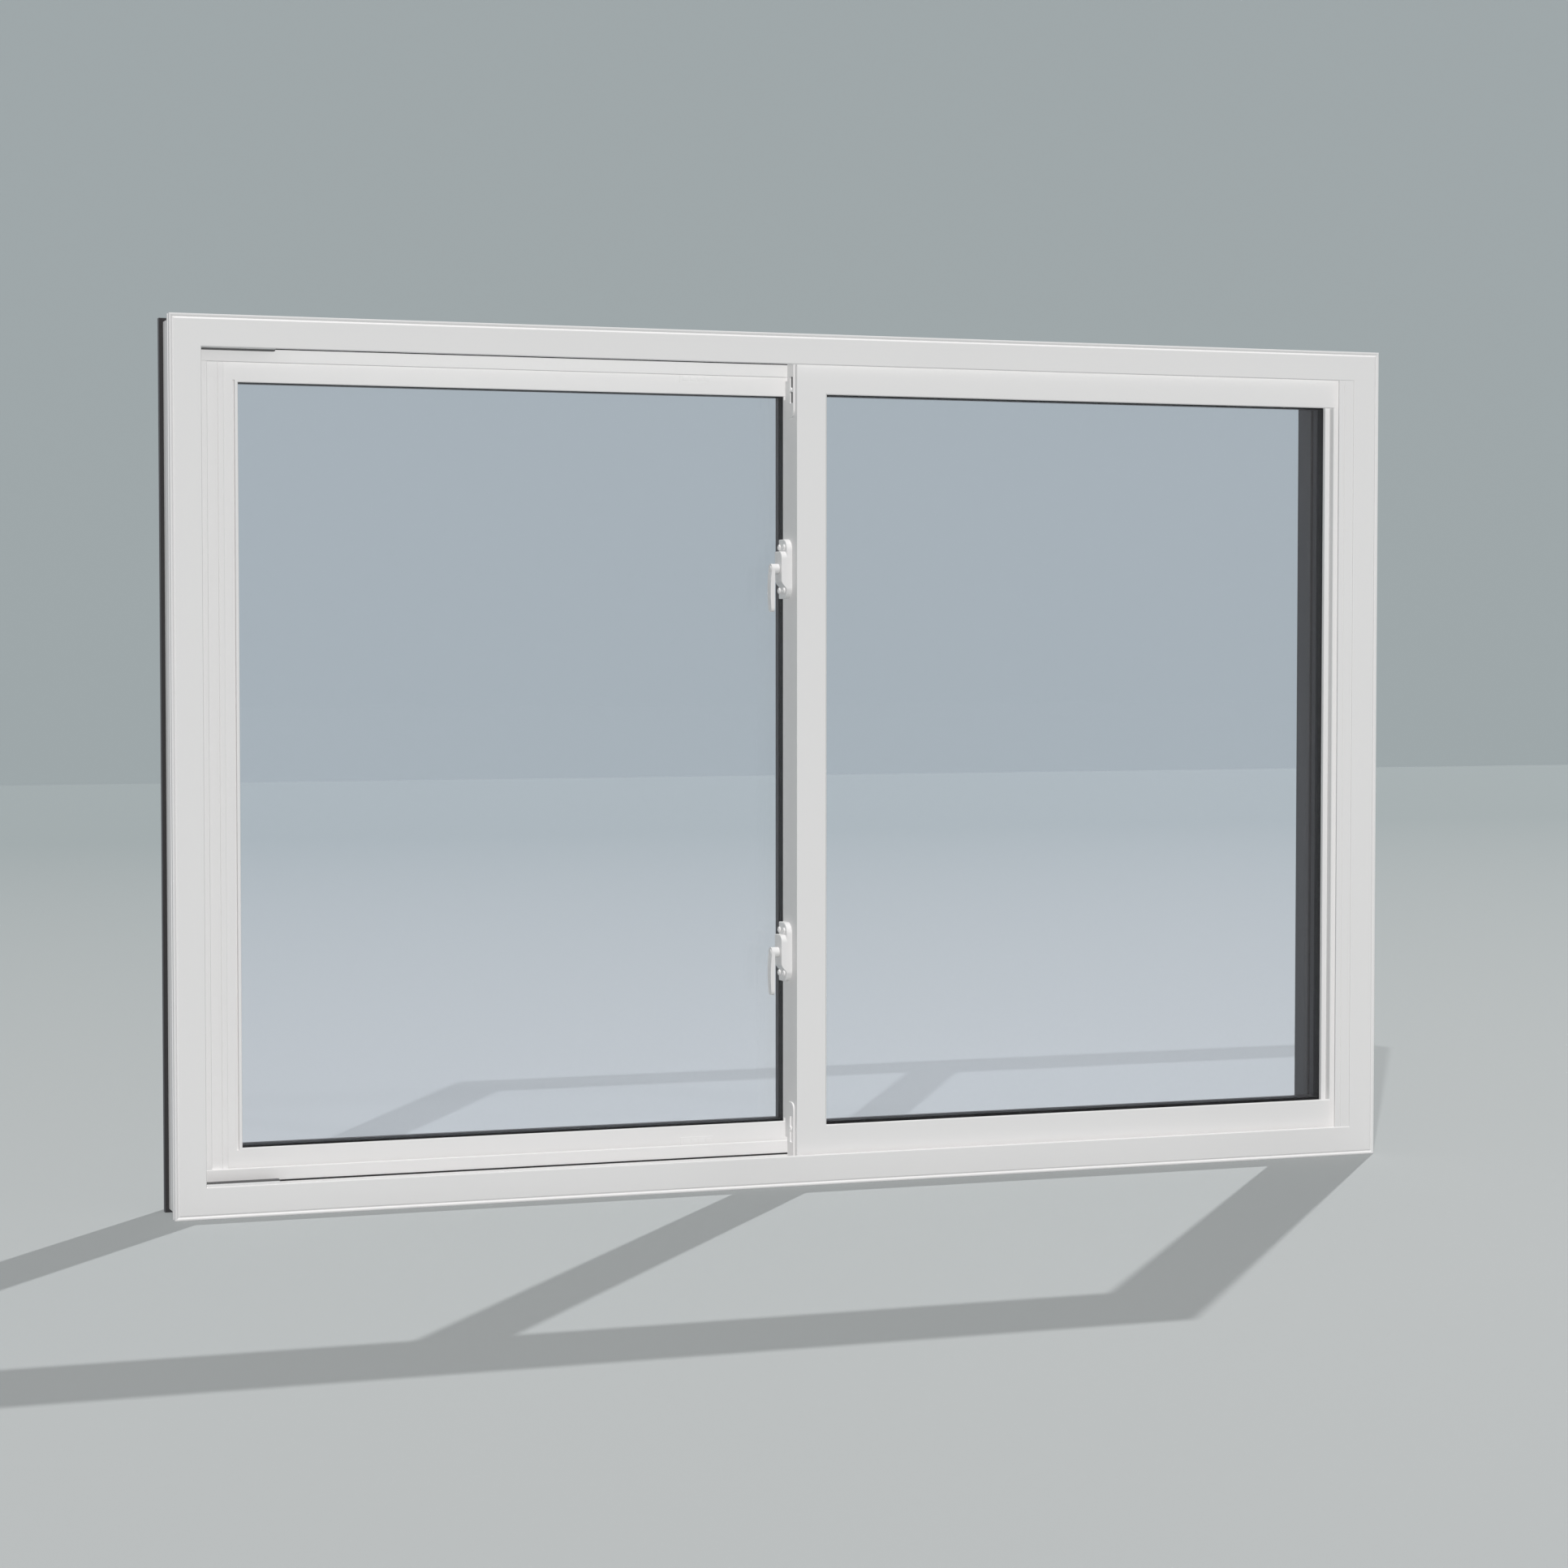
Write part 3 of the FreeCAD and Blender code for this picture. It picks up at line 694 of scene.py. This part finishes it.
@dataclass
class EndPlate:
    """A slotted plate at one end of the meeting stile, with its screw, and dark sheets of painted shade
    in its upper slots.
    """

    place: Place
    slot_insets: tuple[float, ...] = (59.0 * MILLIMETRE, 80.8 * MILLIMETRE)
    slot_height: float = 16.0 * MILLIMETRE
    slot_front: float = 2.8 * MILLIMETRE
    slot_width: float = 12.0 * MILLIMETRE
    pocket: float = 4.0 * MILLIMETRE
    shade_sheet_thickness: float = 3.9 * MILLIMETRE
    screw: PanScrew = field(default_factory=PanScrew)

    def build(self) -> None:
        """Set the screw between the slots, and dark sheets of painted shade in the pockets behind the
        upper ones.
        """
        upper = self.place is Place.UPPER
        low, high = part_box(f"sash_{'top' if upper else 'bottom'}_end_plate")
        frame_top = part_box("head")[1].z
        near = low.y + self.slot_front
        middle_depth = near + self.slot_width / 2
        between = (self.slot_insets[0] + self.slot_height + self.slot_insets[1]) / 2
        seat = Vector((low.x, middle_depth, frame_top - between if upper else between))
        add_piece(f"{self.place.value}_end_screw", self.screw.build(seat), LOCK, "sash")
        if not upper:
            return
        # Painted shade: a dark sheet at each pocket floor, so the upper slots look deep and dark.
        floor_x = high.x + self.pocket
        for number, inset in enumerate(self.slot_insets, 1):
            top = frame_top - inset
            block = SoftBlock(
                Vector((floor_x - self.shade_sheet_thickness, near, top - self.slot_height)),
                Vector((floor_x, near + self.slot_width, top)),
            )
            add_piece(f"upper_slot_shade_{number}", block.build(), PAINTED_SLOT_SHADE, "sash")


@dataclass
class RailClip:
    """The low relief on a retainer clip of the fixed sash: a plain row of bars."""

    place: Place
    bars: int = 4
    margin: float = 5.0 * MILLIMETRE
    bar_gap: float = 3.0 * MILLIMETRE
    edge: float = 3.2 * MILLIMETRE
    rise: float = 0.4 * MILLIMETRE
    bevel: float = 0.25 * MILLIMETRE

    def build(self) -> None:
        """Set the bars side by side on the clip."""
        low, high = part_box(f"fixed_{'top' if self.place is Place.UPPER else 'bottom'}_clip")
        room = high.x - low.x - 2 * self.margin
        width = (room - (self.bars - 1) * self.bar_gap) / self.bars
        for number in range(self.bars):
            left = low.x + self.margin + number * (width + self.bar_gap)
            block = SoftBlock(
                Vector((left, low.y - self.rise, low.z + self.edge)),
                Vector((left + width, low.y + self.rise, high.z - self.edge)),
                bevel=self.bevel,
            )
            name = f"{self.place.value}_clip_bar_{number + 1}"
            add_piece(name, block.build(), WHITE[Run.EVEN], "frame")


@dataclass
class SashLock:
    """A lock on the side of the meeting stile, with its lever and screws."""

    place: Place
    screw: PanScrew = field(
        default_factory=lambda: PanScrew(radius=4.3 * MILLIMETRE, height=2.3 * MILLIMETRE)
    )
    screw_inset: float = 11.5 * MILLIMETRE
    screw_depths: tuple[float, ...] = (11.0 * MILLIMETRE, 30.0 * MILLIMETRE)
    plate_thickness: float = 8.0 * MILLIMETRE
    cap: PanScrew = field(
        default_factory=lambda: PanScrew(
            radius=4.2 * MILLIMETRE, height=0.8 * MILLIMETRE, crossed=False
        )
    )
    hub_radius: float = 7.5 * MILLIMETRE
    bow: float = 1.8 * MILLIMETRE

    def dress(self) -> None:
        """Cover the base and the lever."""
        dress(f"{self.place.value}_lock_base", LOCK)
        dress(f"{self.place.value}_lock_lever", LOCK)

    def build(self) -> None:
        """Set two screws in both ends of the plate, and the pivot's end in the lever's hub."""
        name = self.place.value
        low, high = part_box(f"{name}_lock_base")
        seat_x = high.x - self.plate_thickness
        for end, z in (("top", high.z - self.screw_inset), ("bottom", low.z + self.screw_inset)):
            for number, depth in enumerate(self.screw_depths, 1):
                shape = self.screw.build(Vector((seat_x, low.y + depth, z)))
                add_piece(f"{name}_lock_{end}_screw_{number}", shape, LOCK, "sash")
        low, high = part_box(f"{name}_lock_lever")
        seat = Vector((low.x + self.bow, (low.y + high.y) / 2, high.z - self.hub_radius))
        add_piece(f"{name}_lever_pivot", self.cap.build(seat), LOCK, f"{name}_lever")


@dataclass(frozen=True)
class Lamp:
    """A far lamp, given by the direction from the window to it."""

    name: str
    towards: Direction
    strength: float
    casts: bool = True
    reach: Reach = Reach.ALL
    spread: float = math.radians(0.6)

    def build(self, floor: bpy.types.Object) -> None:
        """Add the lamp.

        Args:
            floor: The ground, which alone takes the light of some lamps.
        """
        data = bpy.data.lights.new(self.name, "SUN")
        data.energy = self.strength
        data.angle = self.spread
        data.use_shadow = self.casts
        made = bpy.data.objects.new(self.name, data)
        made.rotation_mode = "QUATERNION"
        made.rotation_quaternion = Vector(self.towards).to_track_quat("Z", "Y")
        bpy.context.scene.collection.objects.link(made)
        if self.reach is Reach.FLOOR:
            lit = bpy.data.collections.new(self.name + "_lights")
            lit.objects.link(floor)
            made.light_linking.receiver_collection = lit


@dataclass
class Studio:
    """Camera, lights, floor and backdrop."""

    eye: Direction = (-1.7133, -4.6564, 0.7711)
    pitch: float = math.radians(2.258)
    yaw: float = math.radians(19.958)
    lens: float = 78.79
    sensor: float = 36.0
    floor_near: Colour = (0.255, 0.265, 0.265)
    floor_far: Colour = (0.175, 0.197, 0.2)
    wall_colour: Colour = (0.435, 0.478, 0.49)
    # Painted reflection: lightens and blues the floor and wall where they are seen through the glass.
    through: Colour = (1.12, 1.13, 1.2)
    floor_reach: float = 40.0
    wall_distance: float = 15.0
    fade_start: float = -1.0
    fade_end: float = 9.0
    sky: Colour = (0.2, 0.2, 0.2)
    mirrored: Colour = (0.49, 0.52, 0.56)
    lamps: tuple[Lamp, ...] = (
        Lamp("key", (-0.337, -0.87, 0.361), 1.37, casts=False),
        Lamp("top", (0.0, -0.25, 0.97), 1.6, casts=False),
        Lamp("front", (-0.39, -0.65, 0.65), 1.63, reach=Reach.FLOOR),
        Lamp("back", (0.4618, 0.5868, 0.6651), 3.02, reach=Reach.FLOOR),
    )

    def camera(self) -> None:
        """Set the camera at the viewing angle."""
        data = bpy.data.cameras.new("camera")
        data.sensor_fit = "HORIZONTAL"
        data.sensor_width = self.sensor
        data.lens = self.lens
        made = bpy.data.objects.new("camera", data)
        made.location = self.eye
        made.rotation_euler = (math.pi / 2 - self.pitch, 0.0, -self.yaw)
        bpy.context.scene.collection.objects.link(made)
        bpy.context.scene.camera = made

    def lights(self, floor: bpy.types.Object) -> None:
        """Add the lamps, the even light of the room and the pale room that the glass mirrors.

        Args:
            floor: The ground, which alone takes the light of some lamps.
        """
        for lamp in self.lamps:
            lamp.build(floor)
        world = bpy.data.worlds.new("room")
        world.use_nodes = True
        wiring = Wiring(world.node_tree)
        shade = world.node_tree.nodes["Background"]
        path = wiring.node("ShaderNodeLightPath")
        mix = wiring.colour_mix(self.sky, self.mirrored)
        seen = wiring.maths("MAXIMUM", path.outputs["Is Glossy Ray"], path.outputs["Is Transmission Ray"])
        wiring.link(seen, mix.inputs["Factor"])
        wiring.link(mix.outputs[MIX_RESULT], shade.inputs["Color"])
        bpy.context.scene.world = world

    def plane(self, name: str, finish: FloorFinish, turn: float, distance: float) -> bpy.types.Object:
        """Model a large flat sheet of the studio.

        Args:
            name: The sheet's name.
            finish: The finish that covers it.
            turn: How far it is tipped up about X.
            distance: How far back it is set.

        Returns:
            The new object.
        """
        shape = bmesh.new()
        bmesh.ops.create_grid(shape, x_segments=1, y_segments=1, size=self.floor_reach)
        bmesh.ops.rotate(shape, matrix=Matrix.Rotation(turn, 3, "X"), verts=shape.verts)
        bmesh.ops.translate(shape, vec=(0, distance, 0), verts=shape.verts)
        mesh = bpy.data.meshes.new(name)
        shape.to_mesh(mesh)
        shape.free()
        mesh.materials.append(finish.material())
        made = bpy.data.objects.new(name, mesh)
        bpy.context.scene.collection.objects.link(made)
        made.visible_glossy = False
        return made

    def build(self) -> None:
        """Build the whole studio."""
        self.camera()
        ground = FloorFinish(
            "studio_floor",
            self.floor_near,
            self.floor_far,
            self.through,
            start=self.fade_start,
            end=self.fade_end,
        )
        backdrop = FloorFinish("studio_wall", self.wall_colour, self.wall_colour, self.through)
        floor = self.plane("floor", ground, 0.0, 0.0)
        wall = self.plane("wall", backdrop, math.pi / 2, self.wall_distance)
        wall.visible_shadow = False
        self.lights(floor)
        bpy.context.scene.view_settings.view_transform = "Standard"


def main() -> None:
    """Build and dress the sub-assemblies in order."""
    logging.basicConfig(level=logging.INFO, format="%(message)s")
    Studio().build()
    OuterFrame().dress()
    track = Track()
    track.dress()
    track.build()
    GlazedSash("fixed", ("left_stile", "meeting_stile"), ("top_clip", "bottom_clip")).dress()
    GlazedSash("sash", ("meeting_stile", "right_stile"), ("top_end_plate", "bottom_end_plate")).dress()
    dress("sash_rollers", ROLLER)
    for place in Place:
        lock = SashLock(place)
        lock.dress()
        lock.build()
        EndPlate(place).build()
        RailClip(place).build()


if __name__ == "__main__":
    main()
